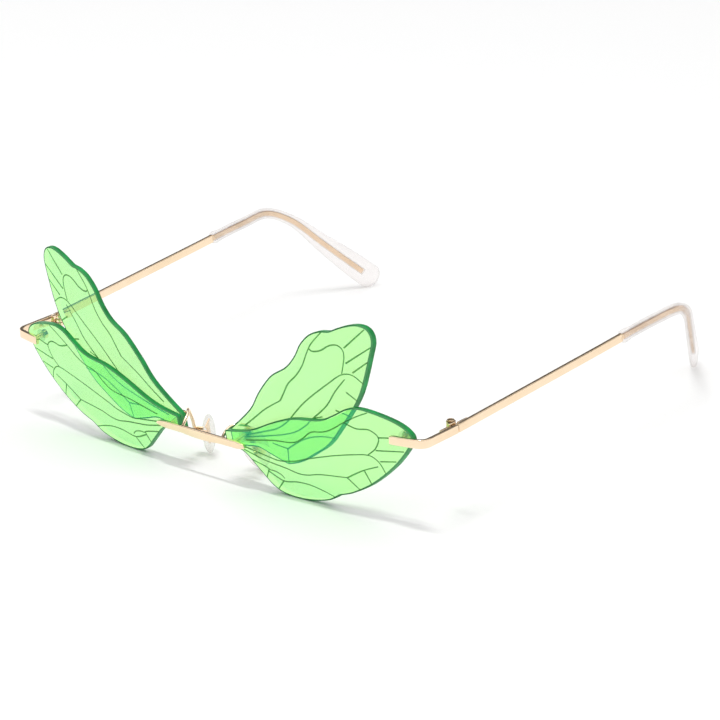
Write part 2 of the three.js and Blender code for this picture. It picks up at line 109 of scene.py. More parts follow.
TEMPLE_STRAIGHT = 94.0
TEMPLE_SPLAY = 3.0
TEMPLE_RISE = 4.8
EAR_RUN = 32.0
EAR_TOE_IN = 15.4
TIP_HEIGHT = 1.1
SLEEVE_START = 0.493
CORE_END = 0.958
CORE_HEIGHT = 1.5
CORE_THICKNESS = 0.8
SLEEVE_HEIGHT = 3.1
SLEEVE_THICKNESS = 2.4
PADDLE_HEIGHT = 7.6
END_ROUND = 0.955

PAD_LENGTH = 13.0
PAD_WIDTH = 7.0
PAD_THICKNESS = 2.6
PAD_SCREW_RADIUS = 0.32
CLEVIS_WIDTH = 2.6
CLEVIS_DEPTH = 1.9
CHEEK = 0.6
WIRE_RADIUS = 0.45

BAR_EDGE = 0.22  # the round of a bar's long edges, and the most it may take of the thinner side
BAR_EDGE_SHARE = 0.45
STRIP_END_EDGE = 0.15
CORE_END_EDGE = 0.3
SMALL_EDGE = 0.08
PLATE_EDGE = 0.12
STUD_SINK = 0.3  # a stud starts this far inside its bar
BRIDGE_TAPER = 4.0
BRIDGE_BOW = 0.45
BOW_STOPS_AT = 9.0  # from the bridge's end
HEAD_DOME = 0.12
LEAF_OFFSET = 0.35  # from the knuckle to its leaf's plate
WEB_REACH = 0.65
INSERT_HALF = 0.25  # half the thickness of the metal plate in a nose pad
COLLAR_SWELL = 0.5
LIP_ROUND = 0.25

# ---- Points and frames -------------------------------------------------------------------------------


def unit(vectors):
    """Vectors divided by their lengths, along the last axis."""
    vectors = np.asarray(vectors, float)
    return vectors / np.linalg.norm(vectors, axis=-1, keepdims=True)


def axes(origin, z_axis, x_hint):
    """A frame as (origin, X, Y, Z): Z along a direction, X turned towards a hint."""
    z = unit(z_axis)
    y = unit(np.cross(z, x_hint))
    return np.asarray(origin, float), np.cross(y, z), y, z


def set_in(points, place):
    """Points given along a frame's X, Y and Z, as points of the whole object."""
    origin, x, y, z = place
    points = np.asarray(points, float)
    return origin + points[..., :1] * x + points[..., 1:2] * y + points[..., 2:3] * z


ACROSS = np.array([math.cos(LENS_WRAP), math.sin(LENS_WRAP), 0.0])
UPWARD = np.array([-math.sin(LENS_WRAP) * math.sin(LENS_LEAN), math.cos(LENS_WRAP) * math.sin(LENS_LEAN),
                   math.cos(LENS_LEAN)])
OUTWARD = np.cross(ACROSS, UPWARD)
UP = np.array([0.0, 0.0, 1.0])


def lens_point(flat, depth=0.0):
    """Flat (U, V) points carried onto the lens: they drop to a sphere of the lens radius less the depth."""
    flat = np.asarray(flat, float)
    radius = LENS_RADIUS - np.asarray(depth, float)
    drop = np.sqrt(radius**2 - (flat**2).sum(-1)) - LENS_RADIUS
    return SPHERE_TOP + flat[..., :1] * ACROSS + flat[..., 1:2] * UPWARD + drop[..., None] * OUTWARD


def lens_normal(flat):
    """The front surface's outward direction at (U, V): away from the sphere's centre."""
    flat = np.asarray(flat, float)
    height = np.sqrt(LENS_RADIUS**2 - (flat**2).sum(-1))
    return unit(flat[..., :1] * ACROSS + flat[..., 1:2] * UPWARD + height[..., None] * OUTWARD)


ROOT_POINT = lens_point(ROOT_STUD)
END_POINT = lens_point(END_STUD)
BRIDGE_NORMAL = unit(lens_normal((0.0, ROOT_STUD[1])) * (0, 1, 1))
ROOT_FRAME = axes(ROOT_POINT, BRIDGE_NORMAL, UP)
END_FRAME = axes(END_POINT, lens_normal(END_STUD), UP)
ROOT_STACK = 2 * WING_STEP
END_STACK = WING_STEP
TEMPLE_X = WING_REACH + END_OVERHANG - STRIP_THICKNESS / 2
HINGE_Z = END_POINT[2] + 0.2
PIN_X = TEMPLE_X - STRIP_THICKNESS / 2 - CLEAR - KNUCKLE_RADIUS
PIN_FRAME = (np.array([PIN_X, JOINT_DEPTH, HINGE_Z]), *np.eye(3))
HINGE_TOP = 1.5 * KNUCKLE_HEIGHT + KNUCKLE_GAP
HEAD_BASE = HINGE_TOP + 0.1

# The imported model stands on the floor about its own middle; the left hinge screw's box shows the shift.
screw_low, screw_high = (np.array(corner) * 1000 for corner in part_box("hinge_screw_left"))
SHIFT = np.array([0.0, (screw_low[1] + screw_high[1]) / 2 - JOINT_DEPTH,
                  screw_high[2] - HINGE_Z - HEAD_BASE - SCREW_HEAD_HEIGHT])

# ---- Curves ------------------------------------------------------------------------------------------


def smooth_curve(points, per_span=40, centripetal=True):
    """A Catmull-Rom curve through points: cubic Hermite spans whose end slopes come from the neighbours.
    A centripetal curve spaces its knots by the square root of each chord and mirrors its end points."""
    p = np.asarray(points, float)
    first, last = (2 * p[0] - p[1], 2 * p[-1] - p[-2]) if centripetal else (p[0], p[-1])
    q = np.vstack([first, p, last])
    a, b, c, d = q[:-3], q[1:-2], q[2:-1], q[3:]
    power = 0.5 if centripetal else 0.0
    knots = [np.linalg.norm(end - start, axis=1, keepdims=True) ** power
             for start, end in ((a, b), (b, c), (c, d))]
    k0, k1, k2 = knots
    slope_in = ((b - a) / k0 - (c - a) / (k0 + k1) + (c - b) / k1) * k1
    slope_out = ((c - b) / k1 - (d - b) / (k1 + k2) + (d - c) / k2) * k1
    t = np.linspace(0, 1, per_span, endpoint=False)[None, :, None]
    b, c, slope_in, slope_out = (each[:, None] for each in (b, c, slope_in, slope_out))
    span = ((2 * t**3 - 3 * t**2 + 1) * b + (t**3 - 2 * t**2 + t) * slope_in
            + (3 * t**2 - 2 * t**3) * c + (t**3 - t**2) * slope_out)
    return np.vstack([span.reshape(-1, p.shape[1]), p[-1:]])


def at_shares(curve, shares):
    """Points of a curve at shares of its length."""
    run = np.concatenate([[0], np.cumsum(np.linalg.norm(np.diff(curve, axis=0), axis=1))])
    shares = np.asarray(shares, float) * run[-1]
    return np.stack([np.interp(shares, run, curve[:, i]) for i in range(curve.shape[1])], -1)


def smoothstep(x, low, high):
    """0 below low, 1 above high, and 3t^2 - 2t^3 between."""
    t = np.clip((np.asarray(x, float) - low) / (high - low), 0, 1)
    return t * t * (3 - 2 * t)


# ---- Surfaces ----------------------------------------------------------------------------------------


def rounded_rectangle(width, height, radius, arc=5):
    """A rectangle whose corners are quarter circles, as a loop of (x, y); sizes may be arrays, one a row."""
    width, height, radius = (np.asarray(size, float)[..., None] for size in (width, height, radius))
    turn = (np.arange(4)[:, None] * math.pi / 2 + np.linspace(0, math.pi / 2, arc)).ravel()
    corner_x = np.repeat([1.0, -1.0, -1.0, 1.0], arc)
    corner_y = np.repeat([1.0, 1.0, -1.0, -1.0], arc)
    x = corner_x * (width / 2 - radius) + radius * np.cos(turn)
    y = corner_y * (height / 2 - radius) + radius * np.sin(turn)
    return np.stack([x, y], -1)


def circle(radius, sides):
    """A circle as a loop of (x, y)."""
    turn = np.arange(sides) * 2 * math.pi / sides
    return np.stack([np.cos(turn), np.sin(turn)], -1) * radius


def carried(path, sections, hint):
    """A grid: each section of (across, up) offsets set square to the path at its own point.
    Across is tangent x hint, and up is across x tangent."""
    along = unit(np.gradient(path, axis=0))
    across = unit(np.cross(along, hint))
    up = np.cross(across, along)
    sections = np.broadcast_to(sections, (len(path),) + np.shape(sections)[-2:])
    return path[:, None] + sections[..., :1] * across[:, None] + sections[..., 1:] * up[:, None]


def quarter_round(radius, steps=4):
    """A round edge in steps: how far it lies in from the side, radius x (1 - sine), and how far it has come
    from the end, radius x (1 - cosine)."""
    turn = np.linspace(0, math.pi / 2, steps)
    return radius * (1 - np.sin(turn)), radius * (1 - np.cos(turn))


def rounded_ends(length, radius):
    """Places along a bar and how far its section shrinks there, so that both ends have round edges."""
    inset, into = quarter_round(radius)
    return np.concatenate([into, (length - into)[::-1]]), np.concatenate([inset, inset[::-1]])


def block(low, high, radius, place):
    """A box with round edges: a rounded rectangle carried up Z, shrunk over its first and last radius."""
    size = np.subtract(high, low)
    height, inset = rounded_ends(size[2], radius)
    loop = rounded_rectangle(size[0] - 2 * inset, size[1] - 2 * inset, np.maximum(radius - inset, 0.02))
    middle = np.add(low, high) / 2
    level = np.broadcast_to((low[2] + height)[:, None, None], loop.shape[:-1] + (1,))
    return set_in(np.concatenate([loop + middle[:2], level], -1), place)


def turned(profile, place, sides=40, wall=None):
    """A profile of (radius, height) spun about a frame's Z. A wall function may vary the radius by angle."""
    radius, height = np.asarray(profile, float).T
    turn = np.arange(sides) * 2 * math.pi / sides
    radius = np.broadcast_to(radius[:, None], (len(radius), sides))
    if wall is not None:
        radius = wall(radius, turn)
    grid = np.stack([radius * np.cos(turn), radius * np.sin(turn),
                     np.broadcast_to(height[:, None], radius.shape)], -1)
    return set_in(grid, place)


def bevelled(radius, low, high, edge, inner=0.0, steps=4):
    """A turned profile from an inner radius out, up a wall with small round edges and back in."""
    inset, rise = quarter_round(edge, steps)
    bottom = np.stack([radius - inset, low + rise], -1)
    top = np.stack([radius - inset, high - rise], -1)[::-1]
    return np.vstack([[inner, low], bottom, top, [inner, high]])


def slotted_head(radius, base, height, slot, depth, place):
    """A screw head: upright sections set across the slot, each as long as the circle's chord there. The top
    is a low dome, and falls by the slot's depth between its two walls."""
    wall = slot / 2
    rim = -radius * np.cos(np.linspace(0, math.pi / 2, 15))[:-1]
    across = np.concatenate([rim[rim < -wall - 0.02], [-wall, -wall + 0.005]])
    across = np.concatenate([across, -across[::-1]])
    chord = np.sqrt(np.maximum(radius**2 - across**2, 0))
    share = np.linspace(-1, 1, 13)
    from_middle = (across[:, None]**2 + (chord[:, None] * share)**2) / radius**2
    top = base + height - HEAD_DOME * from_middle * height / SCREW_HEAD_HEIGHT
    top = top - depth * (np.abs(across) < wall - 0.002)[:, None]
    loop_y = np.concatenate([chord[:, None] * share, chord[:, None] * share[::-1]], 1)
    loop_z = np.concatenate([top, np.full_like(top, base)], 1)
    loop_x = np.broadcast_to(across[:, None], loop_y.shape)
    return set_in(np.stack([loop_x, loop_y, loop_z], -1), place)


# ---- Meshes ------------------------------------------------------------------------------------------


def grid_faces(rows, columns, start, wrap, caps):
    """Vertex numbers of a grid's quads; wrapped grids join their last column to the first, capped ones close
    their end rows with a fan round one more vertex each."""
    across = columns if wrap else columns - 1
    row, column = np.meshgrid(np.arange(rows - 1), np.arange(across), indexing="ij")
    after = (column + 1) % columns
    quads = np.stack([row * columns + column, row * columns + after,
                      (row + 1) * columns + after, (row + 1) * columns + column], -1).reshape(-1, 4)
    faces = (quads + start).tolist()
    if caps:
        ring = np.arange(columns)
        last = (rows - 1) * columns
        first_pole = np.full(columns, rows * columns)
        faces += (np.stack([first_pole, (ring + 1) % columns, ring], -1) + start).tolist()
        faces += (np.stack([first_pole + 1, last + ring, last + (ring + 1) % columns], -1) + start).tolist()
    return faces


def tubes(*grids):
    """Shells that wrap and get end caps, all in their piece's first finish."""
    return [(grid, "tube", 0) for grid in grids]


def loops(*grids):
    """Shells that wrap both ways, all in their piece's first finish."""
    return [(grid, "loop", 0) for grid in grids]


def add_object(name, data):
    """A new object in the scene, at the origin."""
    item = bpy.data.objects.new(name, data)
    bpy.context.scene.collection.objects.link(item)
    return item


def make_piece(name, shells, body, node, finishes, side=1, sharp=40):
    """A mesh of closed shells. Each shell is (grid, kind, finish number): a "tube" wraps and gets end caps,
    a "loop" wraps and meets itself, a "strip" wraps and a "sheet" is open, and both meet their neighbours.
    Doubled points are merged and faces turned outwards. The piece rides on a body, and stands for a CAD
    node if one is named."""
    points, faces, finish_of = [], [], []
    count = 0
    for grid, kind, finish in shells:
        if kind == "loop":
            grid = np.concatenate([grid, grid[:1]])
        rows, columns = grid.shape[:2]
        new = grid_faces(rows, columns, count, kind != "sheet", kind == "tube")
        points.append(grid.reshape(-1, 3))
        if kind == "tube":
            points.append(np.stack([grid[0].mean(0), grid[-1].mean(0)]))
        count = sum(len(each) for each in points)
        faces += new
        finish_of += [finish] * len(new)
    vertices = (np.concatenate(points) * (side, 1, 1) + SHIFT) / 1000
    mesh = bpy.data.meshes.new(name)
    mesh.from_pydata(vertices, [], faces)
    mesh.polygons.foreach_set("material_index", finish_of)
    work = bmesh.new()
    work.from_mesh(mesh)
    bmesh.ops.remove_doubles(work, verts=work.verts, dist=1e-6)
    bmesh.ops.dissolve_degenerate(work, dist=1e-7, edges=work.edges)
    bmesh.ops.recalc_face_normals(work, faces=work.faces)
    work.to_mesh(mesh)
    work.free()
    mesh.shade_smooth()
    mesh.set_sharp_from_angle(angle=math.radians(sharp))
    for finish in finishes:
        mesh.materials.append(finish)
    piece = add_object(name, mesh)
    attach(piece, body)
    if node:
        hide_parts(node)
    return piece


# ---- Finishes ----------------------------------------------------------------------------------------


def set_stops(ramp, stops):
    """Puts (position, colour) stops on a ramp."""
    while len(ramp) < len(stops):
        ramp.new(0.5)
    for element, (position, colour) in zip(ramp, stops):
        element.position = position
        element.color = (*colour, 1)


class Value:
    """A socket of a finish that adds Math nodes when it takes part in an expression."""

    def __init__(self, finish, socket):
        self.finish, self.socket = finish, socket

    def _math(self, operation, first, second):
        return self.finish.node("ShaderNodeMath", {"operation": operation}, {0: first, 1: second})

    def __add__(self, other):
        return self._math("ADD", self, other)

    def __radd__(self, other):
        return self._math("ADD", other, self)

    def __mul__(self, other):
        return self._math("MULTIPLY", self, other)

    def __rmul__(self, other):
        return self._math("MULTIPLY", other, self)


class Finish:
    """A material being put together from nodes."""

    def __init__(self, name):
        self.material = bpy.data.materials.new(name)
        self.material.use_nodes = True
        self.tree = self.material.node_tree
        self.tree.nodes.clear()
        self.where = self.node("ShaderNodeTexCoord", {}, {}, "Object")

    def node(self, kind, settings, inputs, output=0):
        """One node: its settings first (stops are a ramp's), then its sockets' values or links."""
        node = self.tree.nodes.new(kind)
        for name, value in settings.items():
            if name == "stops":
                set_stops(node.color_ramp.elements, value)
            else:
                setattr(node, name, value)
        for name, value in inputs.items():
            if isinstance(value, Value):
                self.tree.links.new(value.socket, node.inputs[name])
            else:
                node.inputs[name].default_value = value
        return Value(self, node.outputs[output]) if len(node.outputs) else None

    def noise(self, scale, detail=3.0, roughness=0.5):
        """Noise from 0 to 1 over the piece; scale is in waves a metre."""
        return self.node("ShaderNodeTexNoise", {}, {"Vector": self.where, "Scale": scale, "Detail": detail,
                                                    "Roughness": roughness}, "Fac")

    def ramp(self, value, stops):
        """Colours looked up along a value."""
        return self.node("ShaderNodeValToRGB", {"stops": stops}, {"Fac": value})

    def bump(self, height, distance, strength=1.0):
        """A normal tilted by a height pattern."""
        return self.node("ShaderNodeBump", {},
                         {"Height": height, "Distance": distance, "Strength": strength})

    def clear(self, tint):
        """What passes light straight through and tints it."""
        return self.node("ShaderNodeBsdfTransparent", {}, {"Color": (*tint, 1)})

    def solid(self, **sockets):
        """A principled surface; a name's underscores are spaces."""
        named = {name.replace("_", " "): value for name, value in sockets.items()}
        return self.node("ShaderNodeBsdfPrincipled", {}, named)

    def grazing(self, blend):
        """0 where the surface faces the eye, rising to 1 at its rim."""
        return self.node("ShaderNodeLayerWeight", {}, {"Blend": blend}, "Facing")

    def mixed(self, share, first, second):
        """A share of the second surface over the first."""
        return self.node("ShaderNodeMixShader", {}, {0: share, 1: first, 2: second})

    def done(self, surface):
        """The finished material."""
        self.node("ShaderNodeOutputMaterial", {}, {"Surface": surface})
        return self.material


CLEAR_TINT = (0.785, 0.955, 0.585)  # what one face of a wing lets by
PAINTED_GLOW_TINT = (1.1, 1.12, 1.1)  # the emission colour of the painted glow on the rim's inner side, for what the rim gives back into the sheet


def wing_green():
    """Polished see-through green: most light passes tinted. Faint clouds in the casting hold a little. A
    painted glow, a blue-green emission over the whole sheet, stands in for the light that the sheet carries."""
    finish = Finish("wing_green")
    clouds = finish.noise(90.0, 2.0)
    handling = finish.noise(2600.0, 4.0, 0.6)
    body = finish.solid(
        Base_Color=finish.ramp(clouds, [(0.3, (0.12, 0.93, 0.78)), (0.7, (0.16, 0.98, 0.86))]),
        Roughness=0.05 + 0.05 * handling,
        IOR=1.49,
        # painted glow: this blue-green emission stands in for light carried along the sheet
        Emission_Color=(0.0, 0.32, 0.3, 1),
        Emission_Strength=1.0,
    )
    share = 0.065 + 0.03 * clouds + 0.1 * finish.grazing(0.3)
    return finish.done(finish.mixed(share, finish.clear(CLEAR_TINT), body))


def edge_green():
    """The cut and polished edge, where light gathers in the sheet: deep green with saw marks across it."""
    finish = Finish("edge_green")
    saw = finish.noise(5200.0, 3.0, 0.7)
    glow = finish.noise(260.0, 2.0)
    body = finish.solid(
        Base_Color=finish.ramp(glow, [(0.3, (0.001, 0.15, 0.03)), (0.7, (0.006, 0.33, 0.07))]),
        Roughness=0.3 + 0.14 * saw,
        Normal=finish.bump(saw, 0.00001, 0.4),
        IOR=1.3,
    )
    share = 0.9 + 0.06 * glow
    return finish.done(finish.mixed(share, finish.clear((0.2, 0.7, 0.3)), body))


def painted_shade_outline_green():
    """The rounded corners of the rim, with painted shade: a dark grey-green line stands in for the light
    that they bend away.
    """
    finish = Finish("painted_shade_outline_green")
    grain = finish.noise(1200.0, 3.0)
    body = finish.solid(
        Base_Color=finish.ramp(grain, [(0.3, (0.015, 0.12, 0.03)), (0.7, (0.025, 0.17, 0.05))]),
        Roughness=0.3 + 0.2 * grain,
        IOR=1.3,
    )
    share = 0.7 + 0.14 * grain
    return finish.done(finish.mixed(share, finish.clear((0.25, 0.75, 0.32)), body))


def painted_glow_green():
    """The rim seen from inside the sheet: a painted glow, a near-white emission that stands in for the light
    that the sheet carries and hands on.
    """
    finish = Finish("painted_glow_green")
    tone = finish.noise(260.0, 2.0)
    return finish.done(finish.solid(
        Base_Color=finish.ramp(tone, [(0.3, (0.05, 0.1, 0.04)), (0.7, (0.06, 0.12, 0.05))]),
        Roughness=0.9,
        Emission_Color=(*PAINTED_GLOW_TINT, 1),
        Emission_Strength=1.0,
    ))


def vein_green():
    """The engraved veins: a matt darker green that still lets some light by."""
    finish = Finish("vein_green")
    grain = finish.noise(4200.0, 3.0)
    body = finish.solid(
        Base_Color=finish.ramp(grain, [(0.3, (0.05, 0.16, 0.045)), (0.7, (0.09, 0.24, 0.07))]),
        Roughness=0.5 + 0.2 * grain,
    )
    share = 0.3 + 0.2 * finish.noise(700.0)
    return finish.done(finish.mixed(share, finish.clear((0.6, 0.85, 0.55)), body))


def gold(name, light, dark, roughness):
    """Polished plating: fine buffing lines in the gloss and a slight change of tone."""
    finish = Finish(name)
    tone = finish.noise(160.0, 2.0)
    stretched = finish.node("ShaderNodeMapping", {}, {"Vector": finish.where, "Scale": (1.0, 0.08, 1.0)})
    lines = finish.node("ShaderNodeTexNoise", {}, {"Vector": stretched, "Scale": 9000.0, "Detail": 3.0},
                        "Fac")
    return finish.done(finish.solid(
        Base_Color=finish.ramp(tone, [(0.3, dark), (0.7, light)]),
        Metallic=1.0,
        Roughness=roughness + 0.08 * lines,
        Normal=finish.bump(lines, 0.000004, 0.3),
    ))


def clear_finish(name, tint, rim, base_share, roughness):
    """Clear plastic: nearly all light passes, and the rims turn pale grey where the surface turns from the
    eye: painted shade for the light that the plastic bends away there.
    """
    finish = Finish(name)
    haze = finish.noise(320.0, 2.0)
    body = finish.solid(
        Base_Color=finish.ramp(haze, [(0.3, rim), (0.7, tuple(0.9 + 0.1 * part for part in rim))]),
        Roughness=roughness + 0.06 * finish.noise(3000.0, 3.0),
        IOR=1.47,
    )
    # painted shade: the grey rim colour takes over where the surface turns away from the eye
    share = base_share + 0.03 * haze + 0.9 * finish.grazing(0.12)
    return finish.done(finish.mixed(share, finish.clear(tint), body))


WING_GREEN = wing_green()
EDGE_GREEN = edge_green()
PAINTED_GLOW_GREEN = painted_glow_green()
PAINTED_SHADE_OUTLINE_GREEN = painted_shade_outline_green()
VEIN_GREEN = vein_green()
PALE_GOLD = gold("pale_gold", (0.97, 0.77, 0.56), (0.92, 0.72, 0.50), 0.13)
SCREW_GOLD = gold("screw_gold", (0.80, 0.61, 0.41), (0.60, 0.44, 0.27), 0.2)
CLEAR_PLASTIC = clear_finish("clear_plastic", (0.975, 0.96, 0.955), (0.50, 0.47, 0.47), 0.01, 0.06)
CLEAR_SILICONE = clear_finish("clear_silicone", (0.96, 0.94, 0.93), (0.48, 0.46, 0.46), 0.02, 0.12)

# ---- Wings -------------------------------------------------------------------------------------------

# Each wing's outline, clockwise from its root, in smooth stretches that meet at corners.
UPPER_OUTLINE = [
    [(8, -49.6), (13, -45.3), (17.2, -41.1), (20.5, -36.1), (25.2, -30.5), (30.3, -27), (33.4, -23.3),
     (35.3, -19.8), (38, -16.8), (41, -15.2), (44, -14.7)],
    [(44, -14.7), (48.2, -12.6), (52.2, -11.5), (55.2, -12.3), (56.4, -15.2), (55.5, -19.6), (53, -28),
     (50.3, -33.7), (45.6, -40.6), (41, -46.5), (36.3, -50.2), (30.8, -53.9), (26.4, -55.5)],
    [(26.4, -55.5), (21.5, -54), (17.4, -52.8), (13.5, -53.4), (8, -54.4)],
]
LOWER_OUTLINE = [
    [(8, -49.5), (16.6, -47.4), (26, -42.8), (32.6, -40.3), (40.5, -39), (45, -36.7), (49, -34.2),
     (53, -33.4), (59.2, -34.4), (64, -36.2), (66.4, -38.9), (65.2, -42.2), (60.6, -48.2), (53.8, -54.4),
     (47.5, -58.4), (42.9, -60.2)],
    [(42.9, -60.2), (39, -62.6), (32.6, -64.1), (26.5, -64.2), (22.2, -62.8), (18.3, -58.9), (14.6, -55),
     (12.2, -54.1), (8, -54.5)],
]
UPPER_TIP = (56.1, -13.6)
LOWER_TIP = (66.4, -38.9)

# Veins as (U, V) points from the root out.
UPPER_VEINS = [
    [(13.9, -47.2), (18.1, -43.8), (22.1, -40.5), (27.5, -36.9)],
    [(27.5, -36.9), (29, -34.4), (30.7, -31.5), (33.6, -28.5), (35.8, -25.3), (37.3, -21.9), (38.7, -19.2),
     (42.0, -15.3)],
    [(38.2, -20.4), (38.9, -20.9), (41.4, -20.3), (43.9, -18.6), (45.4, -18), (46.8, -18), (47.9, -18.8),
     (48.3, -20.4), (47.9, -22.9), (47.3, -25.4)],
    [(48.4, -18.3), (54.3, -12.4)],
    [(48.6, -22.4), (55.8, -16.9)],
    [(50.4, -24.6), (54.9, -20.9)],
    [(13.6, -50.1), (19.8, -47.6), (25.2, -45.3), (28.9, -42.5), (31.9, -39.2), (35.5, -35.4), (42.7, -29.2),
     (47, -25.8), (48.9, -25.2), (50.6, -25.4), (53.2, -27.1)],
    [(12.9, -50.8), (20.7, -48.6), (27.7, -46.4), (31.1, -44.9), (34.7, -42.3), (37.1, -39.9),
     (40.2, -38.7)],
    [(37.1, -39.9), (41.9, -35.2), (44.9, -30.7), (48, -26.8)],
    [(48.1, -30.3), (51.1, -32.2)],
    [(44.4, -36), (48.4, -36.9)],
    [(27.4, -50.7), (31.7, -47.6), (35.6, -45.5), (39.9, -44.4), (43.1, -44.2)],
    [(27.4, -50.7), (26.8, -55.1)],
    [(27.4, -50.7), (22.6, -50.2)],
]
LOWER_VEINS = [
    [(15.3, -50.6), (24.7, -48.4), (31.8, -47.3), (34.7, -45.5), (37.6, -43.1), (41.3, -42.2), (43.9, -41),
     (47.9, -38.2), (52.1, -35.6), (55, -34.1)],
    [(47.9, -38.2), (51.3, -39.2), (55, -38.9), (57.2, -40.5), (56.1, -43.7), (53.5, -46.2)],
    [(57.2, -40.6), (61.8, -39.8)],
    [(56, -44.4), (63.7, -43.3)],
    [(56.7, -47.4), (61.2, -46.6)],
    [(14.1, -52.7), (18.9, -53.3), (22.6, -53.8), (25.3, -54.1), (28.2, -53.6), (31.1, -52.9), (34, -51.7),
     (40.9, -49.3), (44.1, -48.3), (49.1, -47), (53.5, -46.2), (54.9, -46.5), (56.6, -48), (57.7, -50.6)],
    [(13.9, -53.6), (17.6, -54.5), (20.4, -55.1), (24.1, -55.5), (27.7, -55.9), (31.2, -56.5), (33.9, -56.3),
     (38, -55.2), (46.3, -54.2)],
    [(46.3, -54.2), (49.4, -57.1)],
    [(46.3, -54.2), (51.5, -51), (55.9, -49)],
    [(51.8, -51.1), (53.2, -54.7)],
    [(21.3, -58.3), (25.7, -60), (30.5, -59.2), (34.5, -59.2), (38.2, -60), (41.4, -61.1)],
    [(25.7, -60), (23.3, -62.9)],
    [(16.2, -56.1), (20.9, -57.2), (21.8, -57.7), (23.2, -57.7), (25.3, -58.3), (26.2, -59.2)],
    [(21.4, -57.7), (20, -60.4)],
]
EDGE_BEVEL = 0.16
RIM_WIDTH = 0.42
RIM_GAP = 0.01  # between the rim and the sheet inside it
SHEET_EDGE = 0.03
ALONG_WING = 210
ACROSS_WING = 12
VEIN_WIDTH = 0.46
VEIN_RISE = 0.035
VEIN_TAPER = 0.25
VEIN_SECTIONS = (6, 2.2, 0.6)  # the fewest, and a factor and power of the curve's points

# A wing's finishes, by number: the third carries a painted glow and the fourth painted shade.
SHEET, CUT, PAINTED_GLOW, CORNER = range(4)


def outline_ring(stretches, tip):
    """A wing's outline as a closed loop in three runs: root to tip along the top, tip back to the root along
    the bottom, each in even steps of its own length, and the short cut across the root. The corners are
    eased by averaging each point with its neighbours."""
    loop = np.vstack([smooth_curve(stretch, 30, centripetal=False)[:-1] for stretch in stretches])
    loop = np.vstack([loop, stretches[-1][-1]])
    turn = np.argmin(((loop - tip) ** 2).sum(1))
    shares = np.linspace(0, 1, ALONG_WING + 1)
    top = at_shares(loop[: turn + 1], shares)
    bottom = at_shares(loop[turn:], shares)
    root = at_shares(np.stack([loop[-1], loop[0]]), np.linspace(0, 1, ACROSS_WING + 1))
    ring = np.vstack([top, bottom[1:], root[1:-1]])
    for _ in range(3):
        ring = (np.roll(ring, 1, 0) + 2 * ring + np.roll(ring, -1, 0)) / 4
    return ring


def inward_of(ring):
    """A loop's inward direction at each point: its tangent turned a quarter to the right."""
    along = unit(np.roll(ring, -1, 0) - np.roll(ring, 1, 0))
    return np.stack([along[:, 1], -along[:, 0]], -1)


def wing_sheet(ring, depth):
    """The wing inside its rim: a wall carried round the outline, and a front and a back ruled from the top
    run to the bottom run. Every point lies on the lens sphere at its own depth behind the front surface."""
    face_ring = ring + RIM_WIDTH * inward_of(ring)
    levels = depth + np.array([0.0, SHEET_EDGE, LENS_THICKNESS - SHEET_EDGE, LENS_THICKNESS])
    wall = lens_point(np.broadcast_to(face_ring, (4, *ring.shape)),
                      np.broadcast_to(levels[:, None], (4, len(ring))))
    top = face_ring[: ALONG_WING + 1]
    bottom = face_ring[ALONG_WING: 2 * ALONG_WING + 1][::-1]
    share = np.linspace(0, 1, ACROSS_WING + 1)[None, :, None]
    face = top[:, None] * (1 - share) + bottom[:, None] * share
    face[0, 1:-1] = face_ring[2 * ALONG_WING + 1:][::-1]
    return [(wall, "strip", SHEET), (lens_point(face, depth), "sheet", SHEET),
            (lens_point(face, depth + LENS_THICKNESS), "sheet", SHEET)]


def wing_rim(ring, depth):
    """The wing's edge, where light gathers: a narrow band round the outline with two rounded outer corners,
    its offsets measured square to the outline. The rounded corners carry painted shade, a dark line for the
    light that they bend away, and the side that faces into the wing carries a painted glow for the light
    that the sheet carries."""
    inset, sunk = quarter_round(EDGE_BEVEL, 5)
    outside = np.stack([np.concatenate([inset, inset[::-1]]),
                        np.concatenate([sunk, LENS_THICKNESS - sunk[::-1]])], -1)
    inside = np.array([[RIM_WIDTH - RIM_GAP, LENS_THICKNESS], [RIM_WIDTH - RIM_GAP, 0.0]])
    profile = np.vstack([inside[1:], outside, inside[:1]])
    inward = inward_of(ring)
    band = lens_point(ring + profile[:, 0][:, None, None] * inward,
                      np.broadcast_to((depth + profile[:, 1])[:, None], (len(profile), len(ring))))
    corner = len(inset)
    # painted shade on the rounded corners, and a painted glow on the side that faces into the wing
    return [(band[: corner + 1], "strip", CORNER), (band[corner: corner + 2], "strip", CUT),
            (band[corner + 1:], "strip", CORNER), (band[[-1, 0]], "strip", PAINTED_GLOW)]


def wing(stretches, tip, depth):
    """A wing: its sheet and the rim round it."""
    ring = outline_ring(stretches, tip)
    return wing_sheet(ring, depth) + wing_rim(ring, depth)


def vein_ribs(veins, depth):
    """The veins as thin lines on the front surface: a flat oval section carried along each curve, with its
    up the sphere's normal, and narrowing to the curve's far end."""
    fewest, factor, power = VEIN_SECTIONS
    ribs = []
    for vein in veins:
        flat = smooth_curve(vein, 24) if len(vein) > 2 else np.asarray(vein, float)
        flat = at_shares(flat, np.linspace(0, 1, max(fewest, int(factor * len(flat) ** power))))
        width = VEIN_WIDTH * (1 - VEIN_TAPER * np.linspace(0, 1, len(flat)))
        loop = circle(0.5, 8) * np.stack([width, np.full_like(width, 2 * VEIN_RISE)], -1)[:, None]
        path = lens_point(flat, depth)
        along = unit(np.gradient(path, axis=0))
        normal = lens_normal(flat)
        across = unit(np.cross(along, normal))
        ribs.append(path[:, None] + loop[..., :1] * across[:, None] + loop[..., 1:] * normal[:, None])
    return tubes(*ribs)


# ---- Bridge, studs, washers and nuts -----------------------------------------------------------------


def stud(stack, front, place):
    """A stud: a turned pin from inside its bar back through the stack, with a rounded end."""
    length = stack + WASHER_THICKNESS + CLEAR + NUT_HEIGHT + CLEAR
    return turned(bevelled(STUD_RADIUS, -length, front, 0.12)[:-1], place, 32)


